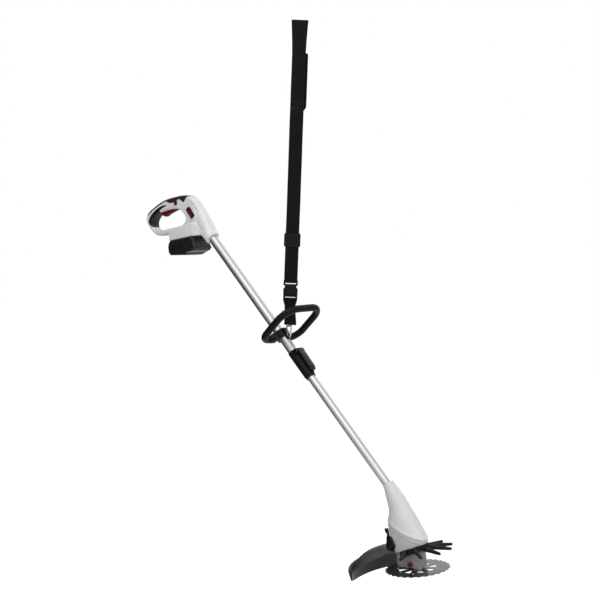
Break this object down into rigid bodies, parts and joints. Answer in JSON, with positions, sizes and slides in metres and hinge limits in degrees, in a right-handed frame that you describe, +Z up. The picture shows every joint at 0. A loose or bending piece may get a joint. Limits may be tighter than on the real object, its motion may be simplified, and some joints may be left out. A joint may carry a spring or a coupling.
{
  "type": "string trimmer",
  "caption": "Battery grass trimmer and brush cutter with telescopic shaft, loop handle, toothed blade, guards and shoulder strap.",
  "frame": {"origin": "top of the shoulder strap, where it lies on the shoulder and the machine hangs from it", "axes": "+Z up along the hanging strap, +X towards the cutting head, +Y to the user's left"},
  "size_m": [1.2888, 0.2579, 1.6091],
  "materials": {
    "webbing": "matte",
    "pad_foam": "matte",
    "buckle_plastic": "satin",
    "zinc_wire": "polished",
    "brass_eye": "satin",
    "brushed_tube": "satin",
    "white_shell": "satin",
    "grip_rubber": "matte",
    "black_plastic": "satin",
    "screw_steel": "satin",
    "red_trigger": "satin",
    "red_button": "satin",
    "pack_plastic": "satin",
    "cell_wrap": "satin",
    "grey_bumper": "satin",
    "bush_nylon": "satin",
    "skirt_plastic": "satin",
    "case_plastic": "satin",
    "lead_rubber": "matte",
    "copper_winding": "satin",
    "bearing_steel": "polished",
    "rotor_steel": "satin",
    "spindle_steel": "satin",
    "blade_steel": "satin"
  },
  "bodies": {
    "strap": {"strap_right": "webbing", "strap_left": "webbing", "strap_top": "webbing", "strap_foot": "webbing", "shoulder_pad": "pad_foam", "buckle_socket": "buckle_plastic"},
    "slider": {"strap_slider": "buckle_plastic", "slider_bar": "zinc_wire"},
    "plug": {"buckle_plug": "buckle_plastic", "strap_tail": "webbing"},
    "ring": {"pull_ring": "zinc_wire"},
    "hook": {"snap_hook": "zinc_wire"},
    "gate": {"hook_gate": "zinc_wire"},
    "trimmer": {"upper_tube": "brushed_tube", "handle_shell_right": "white_shell", "handle_shell_left": "white_shell", "top_grip": "grip_rubber", "rear_grip": "grip_rubber", "terminal_block": "black_plastic", "trigger_switch": "black_plastic", "handle_screws": "screw_steel", "clamp_bracket": "black_plastic", "clamp_cap": "black_plastic", "clamp_screws": "screw_steel", "strap_eye": "brass_eye", "lock_sleeve": "black_plastic", "lock_collar": "black_plastic", "lock_pin": "screw_steel"},
    "loop": {"loop_handle": "black_plastic", "loop_grip": "grip_rubber"},
    "lever": {"lock_lever": "black_plastic"},
    "trigger": {"trigger": "red_trigger"},
    "lock_off": {"lock_off_button": "red_button"},
    "side_button": {"side_button": "red_button"},
    "battery": {"battery_top": "pack_plastic", "battery_base": "pack_plastic", "battery_cells": "cell_wrap", "battery_bumper": "grey_bumper"},
    "battery_latch": {"battery_latch": "black_plastic"},
    "lower": {"lower_tube": "brushed_tube", "tube_bush": "bush_nylon", "head_cover": "white_shell", "head_skirt": "skirt_plastic", "motor_case": "case_plastic", "motor_lead": "lead_rubber", "motor_stator": "copper_winding", "spindle_bearings": "bearing_steel", "head_screws": "screw_steel", "plant_guard": "black_plastic", "debris_guard": "black_plastic", "guard_latch": "black_plastic", "guard_screws": "screw_steel"},
    "spindle": {"spindle": "spindle_steel", "motor_rotor": "rotor_steel", "blade_flange": "spindle_steel", "saw_blade": "blade_steel", "blade_nut": "spindle_steel"},
    "spindle_lock": {"spindle_lock": "red_button"}
  },
  "joints": [
    {"name": "strap_slider_slide", "type": "slide", "parent": "strap", "child": "slider", "axis": [0, 0, 1], "range_m": [-0.08, 0.08]},
    {"name": "buckle_release", "type": "slide", "parent": "strap", "child": "plug", "axis": [0, 0, 1], "range_m": [-0.03, 0]},
    {"name": "pull_ring_turn", "type": "hinge", "parent": "plug", "child": "ring", "pos_m": [-0.01486, -0.01338, -0.877], "axis": [-0.6691, 0.7431, 0], "continuous": true},
    {"name": "hook_swivel", "type": "hinge", "parent": "plug", "child": "hook", "pos_m": [0, 0, -0.9196], "axis": [0, 0, 1], "continuous": true},
    {"name": "gate_hinge", "type": "hinge", "parent": "hook", "child": "gate", "pos_m": [0, -0.009, -0.9196], "axis": [1, 0, 0], "range_deg": [0, 28], "stiffness_Nm_per_rad": 0.05, "springref_deg": -11.46},
    {"name": "swing", "type": "hinge", "parent": "hook", "child": "trimmer", "pos_m": [0, 0, -0.9438], "axis": [0, 1, 0], "range_deg": [-8, 25]},
    {"name": "loop_tilt", "type": "hinge", "parent": "trimmer", "child": "loop", "pos_m": [-0.03998, 0, -0.96394], "axis": [0, 1, 0], "range_deg": [-5, 42]},
    {"name": "lock_lever_hinge", "type": "hinge", "parent": "trimmer", "child": "lever", "pos_m": [0.04787, 0, -0.98808], "axis": [0, 1, 0], "range_deg": [-80, 0]},
    {"name": "trigger_pull", "type": "hinge", "parent": "trimmer", "child": "trigger", "pos_m": [-0.53446, 0, -0.56964], "axis": [0, 1, 0], "range_deg": [0, 6], "stiffness_Nm_per_rad": 1.2, "springref_deg": -5.73},
    {"name": "lock_off_push", "type": "slide", "parent": "trimmer", "child": "lock_off", "axis": [0, 1, 0], "range_m": [-0.003, 0.003], "stiffness_N_per_m": 400},
    {"name": "side_button_push", "type": "slide", "parent": "trimmer", "child": "side_button", "axis": [0, 1, 0], "range_m": [0, 0.003], "stiffness_N_per_m": 500, "springref_m": -0.002},
    {"name": "battery_slide", "type": "slide", "parent": "trimmer", "child": "battery", "axis": [-0.981, 0, -0.1942], "range_m": [0, 0.09]},
    {"name": "battery_latch_push", "type": "slide", "parent": "battery", "child": "battery_latch", "axis": [0.981, 0, 0.1942], "range_m": [0, 0.003], "stiffness_N_per_m": 600, "springref_m": -0.002},
    {"name": "telescope", "type": "slide", "parent": "trimmer", "child": "lower", "axis": [0.7524, 0, -0.6587], "range_m": [-0.25, 0.1]},
    {"name": "spindle_spin", "type": "hinge", "parent": "lower", "child": "spindle", "pos_m": [0.51491, 0, -1.54008], "axis": [-0.1942, 0, 0.981], "continuous": true},
    {"name": "spindle_lock_push", "type": "slide", "parent": "lower", "child": "spindle_lock", "axis": [0.0342, 0.9994, 0.0068], "range_m": [0, 0.004], "stiffness_N_per_m": 500, "springref_m": -0.002}
  ]
}
